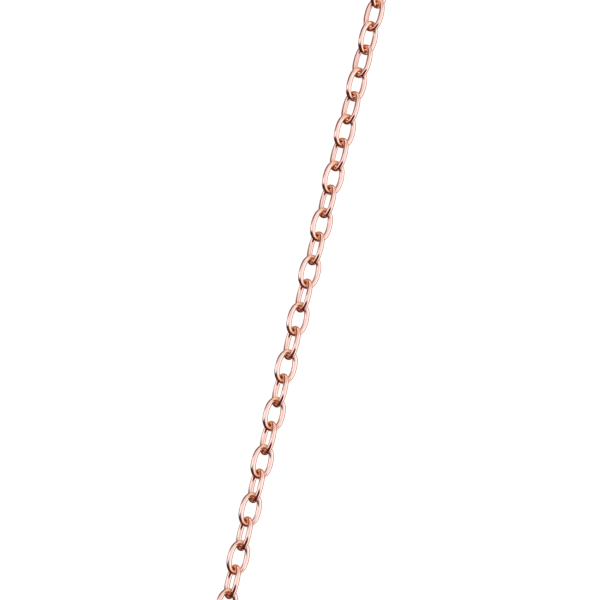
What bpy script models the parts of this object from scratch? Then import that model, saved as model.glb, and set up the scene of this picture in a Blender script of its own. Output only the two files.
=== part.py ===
"""A 45 cm cable-chain necklace with a lobster clasp, lying unfastened on a flat surface.

Each link, ring and clasp piece is its own object, and hangs on the piece before it, outward
from one link in the middle of the straight right-hand side. The links of that side's middle
are modelled one by one. The rest of the chain is made of plain round bars, one for each five
links. Lengths are in millimetres until MM turns them into metres. The surface is z = 0.
"""

import math

import bmesh
import bpy
from mathutils import Matrix, Vector

MM = 0.001

# The chain's links: plain ovals of round wire
WIRE = 0.75
LINK_WIDTH = 3.0
LINK_LENGTH = 4.87
PLAY = 0.04  # free play between the wires of two pieces that hang in each other
OVAL_POWER = 2.3  # 2 is an ellipse, and higher is squarer
LINK_POINTS = 20
PITCH = LINK_LENGTH - 2 * WIRE - PLAY

# How many of each there are, on each side of the middle link
SINGLE_LINKS = 13
LINKS_PER_RUN = 5
UPPER_RUNS, UPPER_END_LINKS = 5, 2
LOWER_RUNS, LOWER_END_LINKS = 15, 1

# The plain bars that stand for five links each
RUN_RADIUS = 1.15
RUN_END = 1.75  # from a pivot to the middle of the bar's round end
LAST_RUN_END = 2.55  # the same where a link hangs on the bar, because the link reaches back
RUN_POINTS = 5
ROUND_END_STEPS = 3

# The route on the surface: two straight sides, a small bend below and a large one above
SIDE_LEAN = math.radians(14)
SIDE = 102.0
LOWER_RADIUS = 26.0
UPPER_RADIUS = LOWER_RADIUS + SIDE * math.tan(SIDE_LEAN)
LOWER_BEND = math.pi - 2 * SIDE_LEAN
# The middle of the right-hand side, seen from the middle of the whole loop's outline
SIDE_MIDDLE = (
    UPPER_RADIUS * math.cos(SIDE_LEAN) - SIDE / 2 * math.sin(SIDE_LEAN),
    (LOWER_RADIUS - UPPER_RADIUS - (LOWER_RADIUS + UPPER_RADIUS) * math.sin(SIDE_LEAN)) / 2,
)

# How far the links are rolled about the chain's axis, in degrees from lying flat. Every
# second link leans one way, and the rest lean the other way. The whole chain is twisted
# over the stretch from TWIST_FROM to TWIST_TO, counted in links from the middle one, and
# above it the steeper links rise by STEEP_RISE a link until they lean as far as the others.
STEEP_ROLL, STEEP_GAIN, STEEP_RISE = 33.0, 27.0, 0.5
FLAT_ROLL, FLAT_LOSS = -44.0, 38.0
TWIST_FROM, TWIST_TO, TWIST_EASE = -12, 12, 0.25

# Rings and clasp
JUMP_RING_WIDTH, JUMP_RING_WIRE, JUMP_RING_ROLL = 3.0, 0.7, 58.0
CATCH_RING_WIDTH, CATCH_RING_WIRE, CATCH_RING_ROLL = 5.0, 0.8, -20.0
RING_POINTS = 24
EYE_WIDTH, EYE_WIRE = 3.1, 0.7
CLASP_THICK = 2.5
CLASP_MIDDLE, CLASP_HALF = 6.5, (4.9, 2.8)
MOUTH_MIDDLE, MOUTH_HALF = (8.4, -0.15), (2.0, 1.45)
GATE = (7.3, 9.4)  # where the mouth is open to the side
SLOT = ((2.9, 7.7), (-1.1, 4.0), 0.6)  # along, across and half its height
RIVET_AT, RIVET_RADIUS, RIVET_CLEARANCE = (4.6, 0.3), 0.36, 0.05
TRIGGER_THICK = 0.94
TRIGGER_BOSS = 1.08
SPRING_POCKET = (0.86, 0.42)  # radius and depth
SPRING_RADIUS, SPRING_WIRE, SPRING_TURNS, SPRING_RISE = 0.64, 0.15, 1.75, 0.17
CLASP_EDGE = 0.35

ROSE_GOLD = (0.93, 0.62, 0.52, 1.0)
STEEL = (0.62, 0.62, 0.63, 1.0)
UP = Vector((0, 0, 1))


# ---------------------------------------------------------------- scene and materials


def clear_scene():
    for thing in list(bpy.data.objects):
        bpy.data.objects.remove(thing, do_unlink=True)


def new_collection(name):
    made = bpy.data.collections.new(name)
    bpy.context.scene.collection.children.link(made)
    return made


def metal(name, colour, roughness):
    made = bpy.data.materials.new(name)
    made.use_nodes = True
    shader = made.node_tree.nodes["Principled BSDF"]
    shader.inputs["Base Color"].default_value = colour
    shader.inputs["Metallic"].default_value = 1.0
    shader.inputs["Roughness"].default_value = roughness
    return made


def add_object(name, data, matrix, parent=None, colour=ROSE_GOLD, roughness=0.12):
    """A new object of the necklace at a place in the world, hanging on its parent."""
    made = bpy.data.objects.new(name, data)
    necklace.objects.link(made)
    made.matrix_world = matrix
    if parent is not None:
        made.parent = parent
        made.matrix_parent_inverse = parent.matrix_world.inverted()
    made.material_slots[0].link = "OBJECT"
    made.material_slots[0].material = metal(name + "_metal", colour, roughness)
    bpy.context.view_layer.update()
    return made


# ---------------------------------------------------------------- the route


def route(s):
    """The point and heading at s along the route, from the middle of the right-hand side, upwards."""
    half = (SIDE / 2, 0.0)
    top = (math.inf, 1 / UPPER_RADIUS)
    bottom = (LOWER_RADIUS * LOWER_BEND, 1 / LOWER_RADIUS)
    stretches = [half, top] if s >= 0 else [half, bottom, (SIDE, 0.0), top]
    x, y = SIDE_MIDDLE
    heading = math.pi / 2 - SIDE_LEAN
    left = abs(s)
    for length, bend in stretches:
        step = math.copysign(min(left, length), s)
        turned = heading + bend * step
        if bend:
            x += (math.sin(turned) - math.sin(heading)) / bend
            y -= (math.cos(turned) - math.cos(heading)) / bend
        else:
            x += step * math.cos(heading)
            y += step * math.sin(heading)
        heading = turned
        left -= abs(step)
        if left <= 0:
            break
    return x, y, heading


def twist(order):
    """How far the chain has twisted at a link, from 0 above the visible stretch to about 1."""
    share = (TWIST_TO - order) / (TWIST_TO - TWIST_FROM)
    return 1 - math.exp(-min(max(share, 0.0), 1.0) / TWIST_EASE)


def steep_roll(order):
    risen = STEEP_RISE * max(order - TWIST_TO, 0)
    return min(STEEP_ROLL + risen, -FLAT_ROLL) + STEEP_GAIN * twist(order)


def roll_of(order):
    """A link's roll in degrees, by its place in the chain, counted upwards from the middle link."""
    lean = 2.0 * math.sin(2.4 * order)  # no two links lie quite alike
    if order % 2 == 0:
        return steep_roll(order) - abs(lean)
    return FLAT_ROLL + FLAT_LOSS * twist(order) + abs(lean)


def axis_height(order):
    """The chain's axis is this high, so that the steeper links just touch the surface."""
    steepest = max(steep_roll(order), -FLAT_ROLL)
    return WIRE / 2 + (LINK_WIDTH - WIRE) / 2 * math.sin(math.radians(steepest))


def place(s):
    """The point at s along the chain, and the direction towards its upper end."""
    x, y, heading = route(s)
    forward = Vector((math.cos(heading), math.sin(heading), 0))
    return Vector((x, y, axis_height(s / PITCH))), forward


def frame(s_from, s_to, roll):
    """A piece's frame: its origin at s_from, +X towards s_to, and +Y across its own plane."""
    start, heading = place(s_from)
    end, _ = place(s_to)
    forward = (end - start).normalized()
    side = heading.cross(UP)
    angle = math.radians(roll)
    across = side * math.cos(angle) + UP * math.sin(angle)
    across = (across - forward * across.dot(forward)).normalized()
    axes = Matrix((forward, across, forward.cross(across))).transposed().to_4x4()
    return Matrix.Translation(start * MM) @ axes


# ---------------------------------------------------------------- curves


def wire_curve(name, points, wire, closed=True, sizes=None, resolution=1):
    """Round wire along points, given in millimetres, as a polyline curve."""
    made = bpy.data.curves.new(name, "CURVE")
    made.dimensions = "3D"
    made.bevel_depth = wire / 2 * MM
    made.bevel_resolution = resolution
    made.use_fill_caps = True
    line = made.splines.new("POLY")
    line.points.add(len(points) - 1)
    for n, (spot, point) in enumerate(zip(line.points, points, strict=True)):
        spot.co = (*(c * MM for c in point), 1)
        spot.radius = sizes[n] if sizes else 1.0
    line.use_cyclic_u = closed
    line.use_smooth = True
    made.materials.append(None)
    return made


def oval(length, width, wire, power, count, start):
    """The middle line of a closed wire ring whose rear wire is centred at x = start."""
    half_long, half_wide = (length - wire) / 2, (width - wire) / 2
    found = []
    for n in range(count):
        angle = 2 * math.pi * n / count
        c, s = math.cos(angle), math.sin(angle)
        x = math.copysign(abs(c) ** (2 / power), c) * half_long
        y = math.copysign(abs(s) ** (2 / power), s) * half_wide
        found.append((start + half_long + x, y, 0.0))
    return found


def ring_curve(name, width, wire, parent_wire):
    """A round ring that hangs on a wire through its frame's origin."""
    start = -(wire + parent_wire) / 2 - PLAY
    return wire_curve(name, oval(width, width, wire, 2, RING_POINTS, start), wire)


def run_curve(name, s_from, s_to, far_end):
    """A plain bar with round ends along the route, about the pivot at s_from."""
    way = math.copysign(1, s_to - s_from)
    first, last = s_from + way * RUN_END, s_to - way * far_end
    ends = []
    for n in range(ROUND_END_STEPS):
        angle = math.radians(90) * (n + 0.6) / (ROUND_END_STEPS + 0.6)
        ends.append((way * RUN_RADIUS * math.cos(angle), math.sin(angle)))
    stations = [(first - reach, size) for reach, size in ends]
    for n in range(RUN_POINTS):
        stations.append((first + (last - first) * n / (RUN_POINTS - 1), 1.0))
    stations += [(last + reach, size) for reach, size in reversed(ends)]
    origin = place(s_from)[0]
    points = [place(s)[0] - origin for s, _ in stations]
    sizes = [size for _, size in stations]
    return wire_curve(name, points, 2 * RUN_RADIUS, False, sizes, resolution=2)


# ---------------------------------------------------------------- the chain


def link_curve():
    """The wire of one link, which all the single links share."""
    start = -WIRE - PLAY
    outline = oval(LINK_LENGTH, LINK_WIDTH, WIRE, OVAL_POWER, LINK_POINTS, start)
    return wire_curve("link_wire", outline, WIRE)


def add_link(name, start, way, order, parent):
    end = start + way * PITCH
    return add_object(name, link_wire, frame(start, end, roll_of(order)), parent), end


def add_run(name, start, way, far_end, parent):
    end = start + way * LINKS_PER_RUN * PITCH
    matrix = Matrix.Translation(place(start)[0] * MM)
    return add_object(name, run_curve(name, start, end, far_end), matrix, parent), end


def add_side(way, runs, end_links, run_number, end_name, parent):
    """Half the chain, outward from the middle link. Gives the last piece and the next pivot."""
    start = way * (LINK_LENGTH - WIRE) / 2
    order = 0
    for _ in range(SINGLE_LINKS):
        order += way
        name = f"link_{SINGLE_LINKS + 1 - order:02d}"
        parent, start = add_link(name, start, way, order, parent)
    for n in range(runs):
        name = f"chain_run_{run_number + n:02d}"
        far_end = RUN_END if n < runs - 1 else LAST_RUN_END
        parent, start = add_run(name, start, way, far_end, parent)
        order += way * LINKS_PER_RUN
    for n in range(end_links):
        order += way
        name = f"{end_name}_{n + 1}"
        parent, start = add_link(name, start, way, order, parent)
    return parent, start


def add_middle_link():
    start = -(LINK_LENGTH - WIRE) / 2 + WIRE + PLAY
    matrix = frame(start, start + PITCH, roll_of(0))
    name = f"link_{SINGLE_LINKS + 1:02d}"
    return add_object(name, link_wire, matrix)


# ---------------------------------------------------------------- the clasp


def prism(name, outline, low, high):
    """A flat outline in millimetres, raised from low to high, as a closed mesh."""
    mesh = bpy.data.meshes.new(name)
    work = bmesh.new()
    rim = [work.verts.new((x * MM, y * MM, low * MM)) for x, y in outline]
    face = work.faces.new(rim)
    raised = bmesh.ops.extrude_face_region(work, geom=[face])
    moved = [v for v in raised["geom"] if isinstance(v, bmesh.types.BMVert)]
    bmesh.ops.translate(work, verts=moved, vec=(0, 0, (high - low) * MM))
    bmesh.ops.recalc_face_normals(work, faces=work.faces)
    work.to_mesh(mesh)
    work.free()
    return mesh


def ellipse(middle, half, count):
    turns = (2 * math.pi * n / count for n in range(count))
    return [(middle[0] + half[0] * math.cos(a), middle[1] + half[1] * math.sin(a)) for a in turns]


def rectangle(along, across):
    return [
        (along[0], across[0]),
        (along[1], across[0]),
        (along[1], across[1]),
        (along[0], across[1]),
    ]


def arc(middle, radius, first, last, count):
    steps = (math.radians(first + (last - first) * n / (count - 1)) for n in range(count))
    return [(middle[0] + radius * math.cos(a), middle[1] + radius * math.sin(a)) for a in steps]


def add_cutter(name, mesh, matrix):
    made = bpy.data.objects.new(name, mesh)
    cutters.objects.link(made)
    made.matrix_world = matrix
    made.hide_render = True
    made.display_type = "WIRE"
    return made


def combine(target, other, operation):
    made = target.modifiers.new(other.name, "BOOLEAN")
    made.operation = operation
    made.object = other
    made.solver = "EXACT"


def round_edges(target, width, limit=40):
    made = target.modifiers.new("rounded_edges", "BEVEL")
    made.width = width * MM
    made.segments = 2
    made.limit_method = "ANGLE"
    made.angle_limit = math.radians(limit)


def smooth(mesh, angle=35):
    mesh.shade_smooth()
    mesh.set_sharp_from_angle(angle=math.radians(angle))


def eye_mesh(matrix):
    """The small loop at the clasp's rear, as a closed mesh."""
    guide = bpy.data.objects.new(
        "eye_guide",
        ring_curve("eye_wire", EYE_WIDTH, EYE_WIRE, JUMP_RING_WIRE),
    )
    cutters.objects.link(guide)
    guide.matrix_world = matrix
    bpy.context.view_layer.update()
    graph = bpy.context.evaluated_depsgraph_get()
    mesh = bpy.data.meshes.new_from_object(guide.evaluated_get(graph))
    bpy.data.objects.remove(guide)
    return mesh


def add_clasp_body(matrix, parent):
    half = CLASP_THICK / 2
    outline = ellipse((CLASP_MIDDLE, 0), CLASP_HALF, 40)
    body = add_solid("clasp_body", prism("clasp_body", outline, -half, half), matrix, parent)
    round_edges(body, CLASP_EDGE)
    deep = CLASP_THICK
    (slot_along, slot_across, slot_half) = SLOT
    cuts = {
        "mouth_cutter": prism("mouth", ellipse(MOUTH_MIDDLE, MOUTH_HALF, 28), -deep, deep),
        "gate_cutter": prism("gate", rectangle(GATE, (MOUTH_MIDDLE[1], 4)), -deep, deep),
        "slot_cutter": prism("slot", rectangle(slot_along, slot_across), -slot_half, slot_half),
        "rivet_hole_cutter": prism(
            "rivet_hole",
            ellipse(RIVET_AT, 2 * [RIVET_RADIUS + RIVET_CLEARANCE], 20),
            -deep,
            deep,
        ),
    }
    combine(body, add_cutter("clasp_eye", eye_mesh(matrix), matrix), "UNION")
    for name, mesh in cuts.items():
        combine(body, add_cutter(name, mesh, matrix), "DIFFERENCE")
    return body


def add_solid(name, mesh, matrix, parent, colour=ROSE_GOLD, roughness=0.12):
    mesh.materials.append(None)
    smooth(mesh)
    return add_object(name, mesh, matrix, parent, colour, roughness)


def trigger_outline():
    """The lever seen from above, about its rivet: a round boss, a thumb tab and a long tongue."""
    boss = arc((0, 0), TRIGGER_BOSS, 130, 285, 9)
    tongue = [(2.2, 0.05), (4.2, 1.0), (4.45, 1.3), (4.45, 1.9), (4.15, 2.05), (2.9, 1.75)]
    tab = [(2.2, 1.9), (1.75, 2.7), (1.4, 3.05), (0.9, 3.1), (0.45, 2.85), (0.1, 2.0)]
    return boss + tongue + tab


def add_trigger(matrix, parent):
    half = TRIGGER_THICK / 2
    at_rivet = matrix @ Matrix.Translation(Vector((*RIVET_AT, 0)) * MM)
    mesh = prism("clasp_trigger", trigger_outline(), -half, half)
    trigger = add_solid("clasp_trigger", mesh, at_rivet, parent)
    round_edges(trigger, 0.12, limit=50)
    radius, depth = SPRING_POCKET
    hole = ellipse((0, 0), 2 * [RIVET_RADIUS + 2 * RIVET_CLEARANCE], 20)
    pocket = ellipse((0, 0), 2 * [radius], 24)
    for name, outline, low in (
        ("trigger_hole_cutter", hole, -TRIGGER_THICK),
        ("spring_pocket_cutter", pocket, half - depth),
    ):
        cutter = add_cutter(name, prism(name, outline, low, TRIGGER_THICK), at_rivet)
        combine(trigger, cutter, "DIFFERENCE")
    return trigger


def add_rivet(matrix, parent):
    at_rivet = matrix @ Matrix.Translation(Vector((*RIVET_AT, 0)) * MM)
    half = CLASP_THICK / 2
    outline = ellipse((0, 0), 2 * [RIVET_RADIUS], 20)
    return add_solid("clasp_rivet", prism("clasp_rivet", outline, -half, half), at_rivet, parent)


def add_spring(matrix, parent):
    """The closing spring: a flat torsion coil round the rivet, in a pocket of the trigger."""
    at_rivet = matrix @ Matrix.Translation(Vector((*RIVET_AT, 0)) * MM)
    low = TRIGGER_THICK / 2 - SPRING_POCKET[1] + SPRING_WIRE / 2 + RIVET_CLEARANCE
    count = round(SPRING_TURNS * 14)
    points = []
    for n in range(count + 1):
        angle = 2 * math.pi * SPRING_TURNS * n / count
        rise = low + SPRING_RISE * SPRING_TURNS * n / count
        points.append((SPRING_RADIUS * math.cos(angle), SPRING_RADIUS * math.sin(angle), rise))
    data = wire_curve("clasp_spring", points, SPRING_WIRE, closed=False)
    return add_object("clasp_spring", data, at_rivet, parent, STEEL, 0.3)


# ---------------------------------------------------------------- the necklace


def build():
    middle = add_middle_link()
    upper, at = add_side(1, UPPER_RUNS, UPPER_END_LINKS, 1, "ring_end_link", middle)
    ring = ring_curve("catch_ring", CATCH_RING_WIDTH, CATCH_RING_WIRE, WIRE)
    add_object("catch_ring", ring, frame(at, at + CATCH_RING_WIDTH, CATCH_RING_ROLL), upper)

    lower, at = add_side(-1, LOWER_RUNS, LOWER_END_LINKS, UPPER_RUNS + 1, "clasp_end_link", middle)
    ring_pitch = JUMP_RING_WIDTH - (3 * JUMP_RING_WIRE + WIRE) / 2 - PLAY
    ring = ring_curve("jump_ring", JUMP_RING_WIDTH, JUMP_RING_WIRE, WIRE)
    pivot = frame(at, at - ring_pitch, JUMP_RING_ROLL)
    jump_ring = add_object("jump_ring", ring, pivot, lower)

    at -= ring_pitch
    pivot = frame(at, at - CLASP_MIDDLE, 0)
    body = add_clasp_body(pivot, jump_ring)
    add_trigger(pivot, body)
    add_rivet(pivot, body)
    add_spring(pivot, body)


clear_scene()
necklace = new_collection("chain_necklace")
cutters = new_collection("cutters")
link_wire = link_curve()
build()
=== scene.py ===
"""The looks of a rose-gold cable-chain necklace: every link, the rings, the clasp and the light.

The single links, the rings and the clasp's pieces are rebuilt finely where the frame has them.
Each plain bar of the frame is replaced by the five links that it stands for. Lengths are in
millimetres until MM turns them into metres.
"""

import math

import bmesh
import bpy
import numpy as np
from mathutils import Matrix, Vector


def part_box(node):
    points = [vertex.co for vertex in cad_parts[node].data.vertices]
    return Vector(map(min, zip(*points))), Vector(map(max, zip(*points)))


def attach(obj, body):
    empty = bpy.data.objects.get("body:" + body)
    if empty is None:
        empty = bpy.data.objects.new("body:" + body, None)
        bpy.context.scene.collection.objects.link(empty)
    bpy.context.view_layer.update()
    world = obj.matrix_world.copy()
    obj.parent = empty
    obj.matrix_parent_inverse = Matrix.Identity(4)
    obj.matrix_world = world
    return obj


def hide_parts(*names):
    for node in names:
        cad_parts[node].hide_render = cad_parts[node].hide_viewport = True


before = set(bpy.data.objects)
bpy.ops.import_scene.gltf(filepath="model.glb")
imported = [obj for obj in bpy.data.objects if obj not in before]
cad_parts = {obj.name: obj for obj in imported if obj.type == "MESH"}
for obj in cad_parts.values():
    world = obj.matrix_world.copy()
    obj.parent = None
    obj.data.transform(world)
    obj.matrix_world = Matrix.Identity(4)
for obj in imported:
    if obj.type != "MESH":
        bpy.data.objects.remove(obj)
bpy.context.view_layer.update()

MM = 0.001

# The chain, as the frame has it
WIRE, LINK_WIDTH, LINK_LENGTH, PLAY, OVAL_POWER = 0.75, 3.0, 4.87, 0.04, 2.3
PITCH = LINK_LENGTH - 2 * WIRE - PLAY
SINGLE_LINKS, LINKS_PER_RUN = 13, 5
UPPER_RUNS, UPPER_END_LINKS = 5, 2
LOWER_RUNS, LOWER_END_LINKS = 15, 1
SIDE_LEAN, SIDE, LOWER_RADIUS = math.radians(14), 102.0, 26.0
UPPER_RADIUS = LOWER_RADIUS + SIDE * math.tan(SIDE_LEAN)
LOWER_BEND = math.pi - 2 * SIDE_LEAN
STEEP_ROLL, STEEP_GAIN, STEEP_RISE = 33.0, 27.0, 0.5
FLAT_ROLL, FLAT_LOSS = -44.0, 38.0
TWIST_FROM, TWIST_TO, TWIST_EASE = -12, 12, 0.25
JUMP_RING_WIDTH, JUMP_RING_WIRE, JUMP_RING_ROLL = 3.0, 0.7, 58.0
CATCH_RING_WIDTH, CATCH_RING_WIRE, CATCH_RING_ROLL = 5.0, 0.8, -20.0

# The clasp, as the frame has it. The slot is the trigger's: along, across and half its thickness
EYE_WIDTH, EYE_WIRE = 3.1, 0.7
CLASP_THICK, CLASP_MIDDLE, CLASP_HALF = 2.5, 6.5, (4.9, 2.8)
MOUTH_MIDDLE, MOUTH_HALF = (8.4, -0.15), (2.0, 1.45)
GATE_ALONG, GATE_END = (7.3, 9.4), 4.0
TRIGGER_SLOT = ((2.9, 7.7), (-1.1, 4.0), 0.6)
RIVET_AT, RIVET_RADIUS, RIVET_CLEARANCE = (4.6, 0.3), 0.36, 0.05
TRIGGER_THICK, TRIGGER_BOSS, BOSS_ARC = 0.94, 1.08, (130, 285)
TRIGGER_TONGUE = [(2.2, 0.05), (4.2, 1.0), (4.45, 1.3), (4.45, 1.9), (4.15, 2.05), (2.9, 1.75)]
TRIGGER_TAB = [(2.2, 1.9), (1.75, 2.7), (1.4, 3.05), (0.9, 3.1), (0.45, 2.85), (0.1, 2.0)]
SPRING_POCKET = (0.86, 0.42)
SPRING_RADIUS, SPRING_WIRE, SPRING_TURNS, SPRING_RISE = 0.64, 0.15, 1.75, 0.17

# What the scene adds to the chain. Each link leans a little its own way, in degrees. The wire is
# slightly thinner than the frame's, most of all in the bows and the rings, which leaves the links
# room to turn in each other. Each link has a soldered joint, and the jump ring has a cut
LEAN, LEAN_STEP = 2.0, 2.4
WIRE_EASE, BOW_THINNING, BOW_FROM, BOW_BLEND = 0.985, 0.07, 1.25, 0.45
SOLDER_AT, SOLDER_HALF, SOLDER_SWELL = 0.1, 0.2, 0.035
RING_EASE, RING_CUT_AT, RING_CUT = 0.94, 75, 0.03

# Where links interlock, which gets duller roughness from rubbing and painted copper bounce light:
# from this share of its half-length on, within this share of its width, and short of its outer
# end by this share of the wire. RISE and FALL are how fast it sets in and ends
RUB_AND_BOUNCE_FROM, RUB_AND_BOUNCE_RISE = 0.5, 5
RUB_AND_BOUNCE_WITHIN = 0.36
RUB_AND_BOUNCE_END, RUB_AND_BOUNCE_FALL = 0.15, 4

# What the scene adds to the clasp: wider rounding, grooves across the end of the thumb tab, and
# the rivet's two heads, each as radius and height past the body's face
CLASP_ROUNDING, ROUNDING_STEPS, ROUNDING_OVER = 0.9, 6, math.radians(40)
TAB_GROOVES = [(1.68, 2.98), (1.3, 3.2), (0.86, 3.22), (0.46, 3.05)]
GROOVE_RADIUS = 0.13
RIVET_BACK = [(0, 0.06), (0.3, 0.045), (0.48, 0.01), (RIVET_RADIUS, 0)]
RIVET_FRONT = [(RIVET_RADIUS, 0), (0.5, 0.01), (0.44, 0.07), (0.25, 0.11), (0, 0.12)]

# The metals: colours, and the range of roughness
PLATING = (0.94, 0.66, 0.575, 1)
PLATING_DEEP = (0.92, 0.61, 0.52, 1)
# Painted bounce light: the warm copper that interlocking links reflect onto each other
PAINTED_BOUNCE_COPPER = (1.0, 0.54, 0.26, 1)
STEEL = (0.6, 0.6, 0.61, 1)
POLISH, RUBBED_DULLING, DRAWN = (0.07, 0.13), 0.3, (0.18, 0.38)

# Noise patterns: scale in features per metre, detail and roughness of each
CLOUDS = (350, 2, 0.5)
POLISHING = (1500, 3, 0.5)
FINE_MARKS = (6000, 3, 0.6)
DRAWING_MARKS = (9000, 3, 0.5)
NOISE_WHOLE, NOISE_MIDDLE = (0, 1), (0.35, 0.65)
MARK_STRENGTH, MARK_DEPTH = 0.25, 0.004

# How finely things are modelled: points along lines and outlines, and round the wire
LINK_POINTS, RING_POINTS, EYE_POINTS, SPRING_POINTS = 72, 96, 72, 98
WIRE_SIDES, RIVET_SIDES, GROOVE_SIDES, BORE_SIDES = 18, 48, 16, 32
BODY_POINTS, MOUTH_POINTS, BOSS_POINTS, POCKET_POINTS = 96, 64, 24, 48
SHARP_OVER = math.radians(50)

# A cast piece's voxel size, and how many rounds of smoothing follow. THROUGH is how far a cut
# through the trigger reaches from its middle
BODY_VOXEL, BODY_ROUNDS = 0.07, 8
TRIGGER_VOXEL, TRIGGER_ROUNDS = 0.045, 4
SMOOTHING = 0.5
THROUGH = 1.0

# The light. Each row of SKY is how high a direction points (the sine of its elevation) and the
# light's colour there. The ramp's first and last stops come first
LIGHT = 1.13
SKY = [
    (-1.0, (0.60, 0.46, 0.40)),
    (1.0, (0.86, 0.90, 0.98)),
    (-0.35, (0.38, 0.24, 0.18)),
    (-0.1, (0.48, 0.31, 0.24)),
    (0.1, (1.40, 1.45, 1.50)),
    (0.5, (1.35, 1.45, 1.50)),
    (0.75, (0.92, 0.97, 1.04)),
]
# A salmon card and four dark gaps: direction, inner and outer degrees, depth and colour of each
CARDS = [
    ((0.41, 0.71, 0.57), 22, 32, 0.85, (0.72, 0.48, 0.40)),
    ((-0.42, -0.77, 0.48), 50, 53, 0.98, (0.08, 0.012, 0.008)),
    ((-0.54, -0.77, -0.34), 57, 62, 0.98, (0.08, 0.012, 0.008)),
    ((0.22, -0.6, 0.77), 20, 25, 0.98, (0.08, 0.012, 0.008)),
    ((-0.66, 0.71, 0.2), 28, 33, 0.95, (0.14, 0.045, 0.035)),
]

# The floor, in metres
FLOOR_HALF, FLOOR_GREY, FLOOR_ROUGHNESS, FLOOR_GLOW = 3.0, 0.35, 0.9, 0.9

# The camera: SENSOR and LENS in mm, CLIP and DISTANCE in metres, TILT in degrees, and AIM in mm
# from the middle link
SENSOR, LENS, CLIP = 36, 132, (0.01, 20)
TILT, DISTANCE, AIM = 4, 0.300, (-0.52, -0.61)

MIDDLE_LINK = f"link_{SINGLE_LINKS + 1:02d}"
UP = Vector((0, 0, 1))

# The two colour inputs and the colour output of a Mix node
MIX_FIRST, MIX_SECOND, MIX_RESULT = 6, 7, 2


# ---------------------------------------------------------------- the route

side_middle = sum(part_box(MIDDLE_LINK), Vector()) / 2 / MM


def route(s):
    """The point and heading at s along the route, upwards from the right-hand side's middle."""
    half = (SIDE / 2, 0.0)
    top = (math.inf, 1 / UPPER_RADIUS)
    bottom = (LOWER_RADIUS * LOWER_BEND, 1 / LOWER_RADIUS)
    stretches = [half, top] if s >= 0 else [half, bottom, (SIDE, 0.0), top]
    x, y = side_middle.xy
    heading = math.pi / 2 - SIDE_LEAN
    left = abs(s)
    for length, bend in stretches:
        step = math.copysign(min(left, length), s)
        turned = heading + bend * step
        if bend:
            x += (math.sin(turned) - math.sin(heading)) / bend
            y -= (math.cos(turned) - math.cos(heading)) / bend
        else:
            x += step * math.cos(heading)
            y += step * math.sin(heading)
        heading = turned
        left -= abs(step)
        if left <= 0:
            break
    return x, y, heading


def twist(order):
    """How far the chain has turned on itself, from 0 to 1, by a link's place in it."""
    share = (TWIST_TO - order) / (TWIST_TO - TWIST_FROM)
    return 1 - math.exp(-min(max(share, 0.0), 1.0) / TWIST_EASE)


def steep_roll(order):
    """The roll in degrees of the steeper links, which look narrow in the photo."""
    risen = STEEP_RISE * max(order - TWIST_TO, 0)
    return min(STEEP_ROLL + risen, -FLAT_ROLL) + STEEP_GAIN * twist(order)


def roll_of(order):
    """A link's roll in degrees, by its place in the chain, counted up from the middle link."""
    lean = LEAN * math.sin(LEAN_STEP * order)
    if order % 2 == 0:
        return steep_roll(order) - abs(lean)
    return FLAT_ROLL + FLAT_LOSS * twist(order) + abs(lean)


def axis_height(order):
    """How high the chain's middle line is, with its steepest links resting on the floor."""
    steepest = max(steep_roll(order), -FLAT_ROLL)
    return WIRE / 2 + (LINK_WIDTH - WIRE) / 2 * math.sin(math.radians(steepest))


def place(s):
    """The point at s along the chain, and the direction towards its upper end."""
    x, y, heading = route(s)
    forward = Vector((math.cos(heading), math.sin(heading), 0))
    return Vector((x, y, axis_height(s / PITCH))), forward


def frame_at(s_from, s_to, roll):
    """A piece's frame, in mm: its origin at s_from, +X towards s_to, +Y across its own plane."""
    start, heading = place(s_from)
    end, _ = place(s_to)
    forward = (end - start).normalized()
    side = heading.cross(UP)
    angle = math.radians(roll)
    across = side * math.cos(angle) + UP * math.sin(angle)
    across = (across - forward * across.dot(forward)).normalized()
    axes = Matrix((forward, across, forward.cross(across))).transposed().to_4x4()
    return Matrix.Translation(start) @ axes


# ---------------------------------------------------------------- materials


def new_material(name):
    made = bpy.data.materials.new(name)
    made.use_nodes = True
    return made, made.node_tree.nodes, made.node_tree.links


def noise(nodes, links, scale, detail, rough):
    """A noise pattern fixed to the metal itself."""
    node = nodes.new("ShaderNodeTexNoise")
    node.inputs["Scale"].default_value = scale
    node.inputs["Detail"].default_value = detail
    node.inputs["Roughness"].default_value = rough
    where = nodes.new("ShaderNodeTexCoord")
    links.new(where.outputs["Object"], node.inputs["Vector"])
    return node.outputs["Fac"]


def spread(nodes, links, value, across, low, high):
    """A value's range across, spread from low to high."""
    node = nodes.new("ShaderNodeMapRange")
    node.inputs["From Min"].default_value, node.inputs["From Max"].default_value = across
    node.inputs["To Min"].default_value = low
    node.inputs["To Max"].default_value = high
    links.new(value, node.inputs["Value"])
    return node.outputs["Result"]


def mix(nodes, links, share, first, second):
    """Two colours mixed: each may be a colour or another node's output."""
    node = nodes.new("ShaderNodeMix")
    node.data_type = "RGBA"
    links.new(share, node.inputs["Factor"])
    for value, socket in ((first, MIX_FIRST), (second, MIX_SECOND)):
        if isinstance(value, bpy.types.NodeSocket):
            links.new(value, node.inputs[socket])
        else:
            node.inputs[socket].default_value = value
    return node.outputs[MIX_RESULT]


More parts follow.
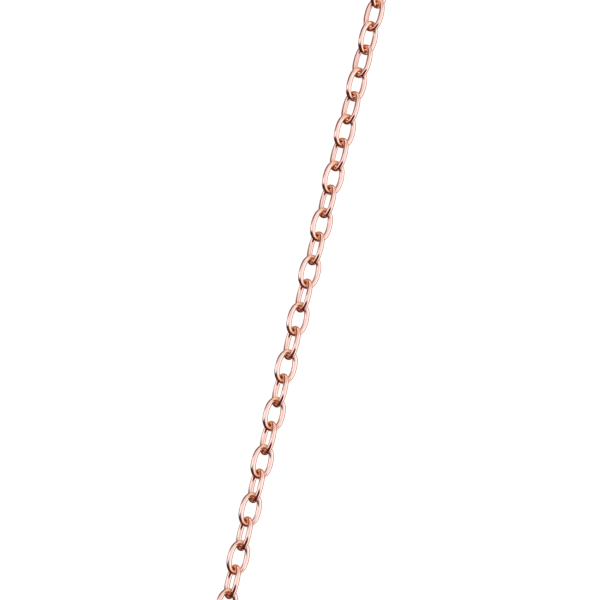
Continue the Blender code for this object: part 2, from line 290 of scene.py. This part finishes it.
def rose_gold(name, with_rub_and_painted_bounce=True):
    """Polished rose-gold plating, with fine polishing marks. Where links interlock, duller
    roughness from rubbing and painted copper bounce light.
    """
    made, nodes, links = new_material(name)
    shader = nodes["Principled BSDF"]
    shader.inputs["Metallic"].default_value = 1.0
    cloudy = spread(nodes, links, noise(nodes, links, *CLOUDS), NOISE_MIDDLE, 0, 1)
    colour = mix(nodes, links, cloudy, PLATING, PLATING_DEEP)
    uneven = noise(nodes, links, *POLISHING)
    roughness = spread(nodes, links, uneven, NOISE_MIDDLE, *POLISH)
    if with_rub_and_painted_bounce:
        # Where links interlock: painted copper bounce light in the colour, and duller roughness
        # from rubbing
        rubbed_and_painted_bounce = nodes.new("ShaderNodeAttribute")
        rubbed_and_painted_bounce.attribute_name = "rubbed_and_painted_bounce"
        colour = mix(nodes, links, rubbed_and_painted_bounce.outputs["Fac"], colour, PAINTED_BOUNCE_COPPER)
        dulled = nodes.new("ShaderNodeMath")
        dulled.operation = "MULTIPLY_ADD"
        dulled.inputs[1].default_value = RUBBED_DULLING
        links.new(rubbed_and_painted_bounce.outputs["Fac"], dulled.inputs[0])
        links.new(roughness, dulled.inputs[2])
        roughness = dulled.outputs["Value"]
    links.new(colour, shader.inputs["Base Color"])
    links.new(roughness, shader.inputs["Roughness"])
    bump = nodes.new("ShaderNodeBump")
    bump.inputs["Strength"].default_value = MARK_STRENGTH
    bump.inputs["Distance"].default_value = MARK_DEPTH * MM
    links.new(noise(nodes, links, *FINE_MARKS), bump.inputs["Height"])
    links.new(bump.outputs["Normal"], shader.inputs["Normal"])
    return made


def spring_steel(name):
    """Bare drawn wire, with roughness in fine marks."""
    made, nodes, links = new_material(name)
    shader = nodes["Principled BSDF"]
    shader.inputs["Metallic"].default_value = 1.0
    shader.inputs["Base Color"].default_value = STEEL
    marks = noise(nodes, links, *DRAWING_MARKS)
    links.new(spread(nodes, links, marks, NOISE_WHOLE, *DRAWN), shader.inputs["Roughness"])
    return made


link_metal = rose_gold("rose_gold_links")
# The clasp has neither the rubbing nor the painted bounce light
clasp_metal = rose_gold("rose_gold_clasp", with_rub_and_painted_bounce=False)
steel = spring_steel("spring_steel_wire")


# ---------------------------------------------------------------- wire


def oval_line(length, width, wire, power, count, start):
    """Points of a closed wire ring's middle line, whose rear wire is centred at x = start."""
    half_long, half_wide = (length - wire) / 2, (width - wire) / 2
    angle = np.arange(count) * 2 * np.pi / count
    c, s = np.cos(angle), np.sin(angle)
    x = start + half_long + np.sign(c) * np.abs(c) ** (2 / power) * half_long
    y = np.sign(s) * np.abs(s) ** (2 / power) * half_wide
    return np.stack([x, y, np.zeros(count)], 1)


def wire_shape(line, radius, closed=True):
    """Vertices and faces of round wire along a nearly flat line. Each point has its radius."""
    count = len(line)
    if closed:
        ahead = np.roll(line, -1, 0) - np.roll(line, 1, 0)
    else:
        ahead = np.gradient(line, axis=0)
    ahead /= np.linalg.norm(ahead, axis=1)[:, None]
    outward = np.stack([ahead[:, 1], -ahead[:, 0], np.zeros(count)], 1)
    around = np.arange(WIRE_SIDES) * 2 * np.pi / WIRE_SIDES
    ring = outward[:, None] * np.cos(around)[None, :, None]
    ring[:, :, 2] += np.sin(around)[None, :]
    points = line[:, None] + ring * radius[:, None, None]
    faces = []
    for n in range(count if closed else count - 1):
        here, there = n * WIRE_SIDES, (n + 1) % count * WIRE_SIDES
        for k in range(WIRE_SIDES):
            after = (k + 1) % WIRE_SIDES
            faces.append((here + k, there + k, there + after, here + after))
    if not closed:
        faces.append(tuple(range(WIRE_SIDES)))
        faces.append(tuple((count - 1) * WIRE_SIDES + k for k in range(WIRE_SIDES))[::-1])
    return points.reshape(-1, 3), faces


def link_shape():
    """One link of the chain, with its soldered joint and a mask of where links interlock: duller
    roughness from rubbing, and painted copper bounce light.
    """
    line = oval_line(LINK_LENGTH, LINK_WIDTH, WIRE, OVAL_POWER, LINK_POINTS, -WIRE - PLAY)
    middle = line[:, 0].mean()
    on_seam_side = line[:, 1] > 0
    from_seam = np.abs(line[:, 0] - middle - SOLDER_AT)
    solder = on_seam_side * np.exp(-((from_seam / SOLDER_HALF) ** 2))
    into_bow = np.clip((np.abs(line[:, 0] - middle) - BOW_FROM) / BOW_BLEND, 0, 1)
    thinned = BOW_THINNING * into_bow**2 * (3 - 2 * into_bow)
    radius = WIRE / 2 * (WIRE_EASE + SOLDER_SWELL * solder - thinned)
    points, faces = wire_shape(line, radius)
    half = LINK_LENGTH / 2
    # The interlock mask: duller roughness from rubbing and painted copper bounce light
    from_middle = np.abs(points[:, 0] - middle)
    near_bow = np.clip((from_middle / half - RUB_AND_BOUNCE_FROM) * RUB_AND_BOUNCE_RISE, 0, 1)
    inside = np.clip(1 - np.abs(points[:, 1]) / (LINK_WIDTH * RUB_AND_BOUNCE_WITHIN), 0, 1)
    short_of_end = np.clip((half - WIRE * RUB_AND_BOUNCE_END - from_middle) * RUB_AND_BOUNCE_FALL, 0, 1)
    return points, faces, near_bow * inside * short_of_end


def even(line, wire):
    """The same radius at each point of a line, from the wire's thickness."""
    return np.full(len(line), wire / 2)


def ring_shape(width, wire, parent_wire, gap=0.0):
    """A round ring that hangs on a wire through its frame's origin, cut through if gap."""
    start = -(wire + parent_wire) / 2 - PLAY
    radius = (width - wire) / 2
    if not gap:
        line = oval_line(width, width, wire, 2, RING_POINTS, start)
        return (*wire_shape(line, even(line, RING_EASE * wire)), None)
    edge = gap / 2 / radius
    angle = math.radians(RING_CUT_AT) + np.linspace(edge, 2 * np.pi - edge, RING_POINTS + 1)
    along = start + radius + radius * np.cos(angle)
    line = np.stack([along, radius * np.sin(angle), 0 * angle], 1)
    return (*wire_shape(line, even(line, RING_EASE * wire), closed=False), None)


def joined(name, shape, matrices, material):
    """Copies of a shape, one for each matrix in mm, as one mesh object in metres."""
    points, faces, rubbed_and_painted_bounce = shape
    placed, all_faces = [], []
    for n, matrix in enumerate(matrices):
        turn = np.array(matrix.to_3x3())
        placed.append(points @ turn.T + np.array(matrix.translation))
        shift = n * len(points)
        all_faces += [tuple(v + shift for v in face) for face in faces]
    mesh = bpy.data.meshes.new(name)
    mesh.from_pydata((np.concatenate(placed) * MM).tolist(), [], all_faces)
    # The interlock mask goes along: duller roughness from rubbing and painted copper bounce light
    if rubbed_and_painted_bounce is not None:
        worn_and_painted_bounce = mesh.attributes.new("rubbed_and_painted_bounce", "FLOAT", "POINT")
        worn_and_painted_bounce.data.foreach_set("value", np.tile(rubbed_and_painted_bounce, len(matrices)).astype(np.float32))
    mesh.shade_smooth()
    mesh.set_sharp_from_angle(angle=SHARP_OVER)
    mesh.materials.append(material)
    made = bpy.data.objects.new(name, mesh)
    bpy.context.scene.collection.objects.link(made)
    return made


def settle(piece, node, body):
    """The piece rides on a body and stands for a CAD node."""
    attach(piece, body)
    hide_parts(node)


# ---------------------------------------------------------------- the chain

link = link_shape()


def add_links(name, node, start, way, order, count=1):
    """The links from a pivot on, as one piece that stands for a node. Gives the next pivot."""
    matrices = []
    for n in range(count):
        matrices.append(frame_at(start, start + way * PITCH, roll_of(order + way * (n + 1))))
        start += way * PITCH
    settle(joined(name, link, matrices, link_metal), node, node)
    return start


def add_side(way, runs, end_links, run_number, end_name):
    """One side of the chain, up (1) or down (-1) from the middle link. Gives the last pivot."""
    start, order = way * (LINK_LENGTH - WIRE) / 2, 0
    for _ in range(SINGLE_LINKS):
        node = f"link_{SINGLE_LINKS + 1 - order - way:02d}"
        start = add_links(node + "_wire", node, start, way, order)
        order += way
    for n in range(runs):
        node = f"chain_run_{run_number + n:02d}"
        start = add_links(node + "_links", node, start, way, order, LINKS_PER_RUN)
        order += way * LINKS_PER_RUN
    for n in range(end_links):
        node = f"{end_name}_{n + 1}"
        start = add_links(node + "_wire", node, start, way, order)
        order += way
    return start


def add_ring(node, shape, matrix):
    settle(joined(node + "_wire", shape, [matrix], clasp_metal), node, node)


first_pivot = -(LINK_LENGTH - WIRE) / 2 + WIRE + PLAY
add_links(MIDDLE_LINK + "_wire", MIDDLE_LINK, first_pivot, 1, -1)

upper_end = add_side(1, UPPER_RUNS, UPPER_END_LINKS, 1, "ring_end_link")
catch_ring = ring_shape(CATCH_RING_WIDTH, CATCH_RING_WIRE, WIRE)
catch_ring_place = frame_at(upper_end, upper_end + CATCH_RING_WIDTH, CATCH_RING_ROLL)
add_ring("catch_ring", catch_ring, catch_ring_place)

lower_end = add_side(-1, LOWER_RUNS, LOWER_END_LINKS, UPPER_RUNS + 1, "clasp_end_link")
jump_ring = ring_shape(JUMP_RING_WIDTH, JUMP_RING_WIRE, WIRE, gap=RING_CUT)
# From the last link's bow to the middle of the jump ring's far wire, where the clasp hangs
ring_pitch = JUMP_RING_WIDTH - (3 * JUMP_RING_WIRE + WIRE) / 2 - PLAY
add_ring("jump_ring", jump_ring, frame_at(lower_end, lower_end - ring_pitch, JUMP_RING_ROLL))


# ---------------------------------------------------------------- the clasp

clasp_at = lower_end - ring_pitch
clasp_place = frame_at(clasp_at, clasp_at - CLASP_MIDDLE, 0)
rivet_place = clasp_place @ Matrix.Translation((*RIVET_AT, 0))


def ellipse(middle, half, count):
    angle = np.arange(count) * 2 * np.pi / count
    return [(middle[0] + half[0] * np.cos(a), middle[1] + half[1] * np.sin(a)) for a in angle]


def disc(middle, radius, count):
    return ellipse(middle, (radius, radius), count)


def rectangle(along, across):
    return [(x, y) for y, row in zip(across, (along, along[::-1])) for x in row]


def slab(outline, low, high):
    """A flat solid: an outline, counterclockwise, between two heights."""
    count = len(outline)
    points = [(x, y, z) for z in (low, high) for x, y in outline]
    faces = [tuple(range(count))[::-1], tuple(range(count, 2 * count))]
    for n in range(count):
        after = (n + 1) % count
        faces.append((n, after, after + count, n + count))
    return points, faces


def blank(shape):
    """A working object in mm, which is removed once it has been used."""
    points, faces = shape
    mesh = bpy.data.meshes.new("blank")
    mesh.from_pydata([tuple(point) for point in points], [], faces)
    made = bpy.data.objects.new("blank", mesh)
    bpy.context.scene.collection.objects.link(made)
    return made


def combine(target, shape, operation="DIFFERENCE"):
    """Cuts a shape from the target, or adds it. Gives the working object that holds the shape."""
    modifier = target.modifiers.new(operation, "BOOLEAN")
    modifier.object = blank(shape)
    modifier.operation = operation
    return modifier.object


def cast(name, target, tools, voxel, rounds, matrix):
    """The target's shape with the soft edges of a tumbled casting, at its place in metres."""
    remesh = target.modifiers.new("remesh", "REMESH")
    remesh.mode = "VOXEL"
    remesh.voxel_size = voxel
    smooth = target.modifiers.new("smooth", "SMOOTH")
    smooth.factor = SMOOTHING
    smooth.iterations = rounds
    bpy.context.view_layer.update()
    graph = bpy.context.evaluated_depsgraph_get()
    mesh = bpy.data.meshes.new_from_object(target.evaluated_get(graph))
    for used in [target, *tools]:
        bpy.data.objects.remove(used)
    mesh.transform(Matrix.Scale(MM, 4) @ matrix)
    mesh.shade_smooth()
    mesh.materials.clear()
    mesh.materials.append(clasp_metal)
    made = bpy.data.objects.new(name, mesh)
    bpy.context.scene.collection.objects.link(made)
    return made


def clasp_body():
    """The cast hook: a flattened egg with its eye, mouth, gate, trigger slot and rivet bore."""
    half = CLASP_THICK / 2
    body = blank(slab(ellipse((CLASP_MIDDLE, 0), CLASP_HALF, BODY_POINTS), -half, half))
    bevel = body.modifiers.new("bevel", "BEVEL")
    bevel.width = CLASP_ROUNDING
    bevel.segments = ROUNDING_STEPS
    bevel.limit_method = "ANGLE"
    bevel.angle_limit = ROUNDING_OVER
    eye_start = -(EYE_WIRE + JUMP_RING_WIRE) / 2 - PLAY
    eye = oval_line(EYE_WIDTH, EYE_WIDTH, EYE_WIRE, 2, EYE_POINTS, eye_start)
    mouth = ellipse(MOUTH_MIDDLE, MOUTH_HALF, MOUTH_POINTS)
    gate = rectangle(GATE_ALONG, (MOUTH_MIDDLE[1], GATE_END))
    bore = disc(RIVET_AT, RIVET_RADIUS + RIVET_CLEARANCE, BORE_SIDES)
    along, across, slot_half = TRIGGER_SLOT
    deep = CLASP_THICK
    tools = [
        combine(body, wire_shape(eye, even(eye, RING_EASE * EYE_WIRE)), "UNION"),
        combine(body, slab(mouth, -deep, deep)),
        combine(body, slab(gate, -deep, deep)),
        combine(body, slab(rectangle(along, across), -slot_half, slot_half)),
        combine(body, slab(bore, -deep, deep)),
    ]
    return cast("clasp_body_cast", body, tools, BODY_VOXEL, BODY_ROUNDS, clasp_place)


def clasp_trigger():
    """The lever: a boss on the rivet, a tongue that shuts the mouth and a grooved thumb tab."""
    half = TRIGGER_THICK / 2
    turn = np.radians(np.linspace(*BOSS_ARC, BOSS_POINTS))
    boss = [(TRIGGER_BOSS * np.cos(a), TRIGGER_BOSS * np.sin(a)) for a in turn]
    trigger = blank(slab(boss + TRIGGER_TONGUE + TRIGGER_TAB, -half, half))
    radius, depth = SPRING_POCKET
    hole = disc((0, 0), RIVET_RADIUS + 2 * RIVET_CLEARANCE, BORE_SIDES)
    pocket = disc((0, 0), radius, POCKET_POINTS)
    tools = [
        combine(trigger, slab(hole, -THROUGH, THROUGH)),
        combine(trigger, slab(pocket, half - depth, THROUGH)),
    ]
    for middle in TAB_GROOVES:
        groove = disc(middle, GROOVE_RADIUS, GROOVE_SIDES)
        tools.append(combine(trigger, slab(groove, -THROUGH, THROUGH)))
    name = "clasp_trigger_cast"
    return cast(name, trigger, tools, TRIGGER_VOXEL, TRIGGER_ROUNDS, rivet_place)


def clasp_rivet():
    """A pin with its two ends peened into low domes."""
    half = CLASP_THICK / 2
    profile = [(radius, -half - past) for radius, past in RIVET_BACK]
    profile += [(radius, half + past) for radius, past in RIVET_FRONT]
    sides = RIVET_SIDES
    points, faces = [(0, 0, profile[0][1])], []
    for radius, height in profile[1:-1]:
        points += [(x, y, height) for x, y in disc((0, 0), radius, sides)]
    points.append((0, 0, profile[-1][1]))
    rings = len(profile) - 2
    for k in range(sides):
        after = (k + 1) % sides
        faces.append((0, 1 + after, 1 + k))
        for n in range(rings - 1):
            low = 1 + n * sides
            faces.append((low + k, low + after, low + sides + after, low + sides + k))
        top = 1 + (rings - 1) * sides
        faces.append((top + k, top + after, len(points) - 1))
    return joined("clasp_rivet_pin", (np.array(points), faces, None), [rivet_place], clasp_metal)


def clasp_spring():
    """The closing spring: a fine steel coil round the rivet, in a pocket of the trigger."""
    low = TRIGGER_THICK / 2 - SPRING_POCKET[1] + SPRING_WIRE / 2 + RIVET_CLEARANCE
    angle = np.linspace(0, 2 * np.pi * SPRING_TURNS, SPRING_POINTS)
    rise = low + SPRING_RISE * angle / (2 * np.pi)
    line = np.stack([SPRING_RADIUS * np.cos(angle), SPRING_RADIUS * np.sin(angle), rise], 1)
    points, faces = wire_shape(line, even(line, SPRING_WIRE), closed=False)
    return joined("clasp_spring_coil", (points, faces, None), [rivet_place], steel)


for make, node, body, slot in (
    (clasp_body, "clasp_body", "clasp_body", "rose_gold"),
    (clasp_trigger, "clasp_trigger", "clasp_trigger", "rose_gold"),
    (clasp_rivet, "clasp_rivet", "clasp_body", "rose_gold"),
    (clasp_spring, "clasp_spring", "clasp_body", "spring_steel"),
):
    settle(make(), node, body)


# ---------------------------------------------------------------- light, floor and camera


def add_world():
    """Soft white studio light, dim and warm below the horizon, with dark gaps between lamps."""
    world = bpy.data.worlds.new("studio")
    world.use_nodes = True
    nodes, links = world.node_tree.nodes, world.node_tree.links
    where = nodes.new("ShaderNodeTexCoord").outputs["Generated"]

    def nearness(direction, inner, outer, depth):
        """depth within inner degrees of a direction, falling to 0 at outer degrees."""
        dot = nodes.new("ShaderNodeVectorMath")
        dot.operation = "DOT_PRODUCT"
        dot.inputs[1].default_value = Vector(direction).normalized()
        links.new(where, dot.inputs[0])
        fall = nodes.new("ShaderNodeMapRange")
        fall.interpolation_type = "SMOOTHSTEP"
        fall.inputs["From Min"].default_value = math.cos(math.radians(outer))
        fall.inputs["From Max"].default_value = math.cos(math.radians(inner))
        fall.inputs["To Max"].default_value = depth
        links.new(dot.outputs["Value"], fall.inputs["Value"])
        return fall.outputs["Result"]

    split = nodes.new("ShaderNodeSeparateXYZ")
    links.new(where, split.inputs[0])
    height = nodes.new("ShaderNodeMapRange")
    height.inputs["From Min"].default_value = -1
    links.new(split.outputs["Z"], height.inputs["Value"])
    sky = nodes.new("ShaderNodeValToRGB")
    links.new(height.outputs["Result"], sky.inputs["Fac"])
    stops = sky.color_ramp.elements
    for n, (rise, colour) in enumerate(SKY):
        stop = stops[n] if n < 2 else stops.new((rise + 1) / 2)
        stop.position = (rise + 1) / 2
        stop.color = (*colour, 1)
    light = sky.outputs["Color"]
    for *extent, colour in CARDS:
        light = mix(nodes, links, nearness(*extent), light, (*colour, 1))
    path = nodes.new("ShaderNodeLightPath")
    seen = mix(nodes, links, path.outputs["Is Camera Ray"], light, (*3 * [1 / LIGHT], 1))
    links.new(seen, nodes["Background"].inputs["Color"])
    nodes["Background"].inputs["Strength"].default_value = LIGHT
    bpy.context.scene.world = world


def add_floor():
    """The white surface. The metal doesn't mirror it, but the light's own lower half.

    It glows white for the camera only, so it throws little light back at the necklace.
    """
    mesh = bpy.data.meshes.new("floor")
    work = bmesh.new()
    bmesh.ops.create_grid(work, x_segments=1, y_segments=1, size=FLOOR_HALF)
    work.to_mesh(mesh)
    work.free()
    floor = bpy.data.objects.new("floor", mesh)
    bpy.context.scene.collection.objects.link(floor)
    made, nodes, links = new_material("floor_white")
    shader = nodes["Principled BSDF"]
    shader.inputs["Base Color"].default_value = (*3 * [FLOOR_GREY], 1)
    shader.inputs["Roughness"].default_value = FLOOR_ROUGHNESS
    shader.inputs["Specular IOR Level"].default_value = 0.0
    shader.inputs["Emission Color"].default_value = (1, 1, 1, 1)
    path = nodes.new("ShaderNodeLightPath")
    glow = nodes.new("ShaderNodeMath")
    glow.operation = "MULTIPLY"
    glow.inputs[1].default_value = FLOOR_GLOW
    links.new(path.outputs["Is Camera Ray"], glow.inputs[0])
    links.new(glow.outputs["Value"], shader.inputs["Emission Strength"])
    mesh.materials.append(made)
    floor.visible_glossy = False


def add_camera():
    """A long lens almost straight above the right-hand side's middle, with +Y up the picture."""
    lens = bpy.data.cameras.new("camera")
    lens.sensor_width = SENSOR
    lens.lens = LENS
    lens.clip_start, lens.clip_end = CLIP
    camera = bpy.data.objects.new("camera", lens)
    bpy.context.scene.collection.objects.link(camera)
    tilt = math.radians(TILT)
    aim = (side_middle + Vector((*AIM, 0))) * MM
    camera.location = aim + DISTANCE * Vector((0, -math.sin(tilt), math.cos(tilt)))
    camera.rotation_euler = (tilt, 0, 0)
    bpy.context.scene.camera = camera


add_world()
add_floor()
add_camera()
bpy.context.scene.view_settings.view_transform = "Standard"
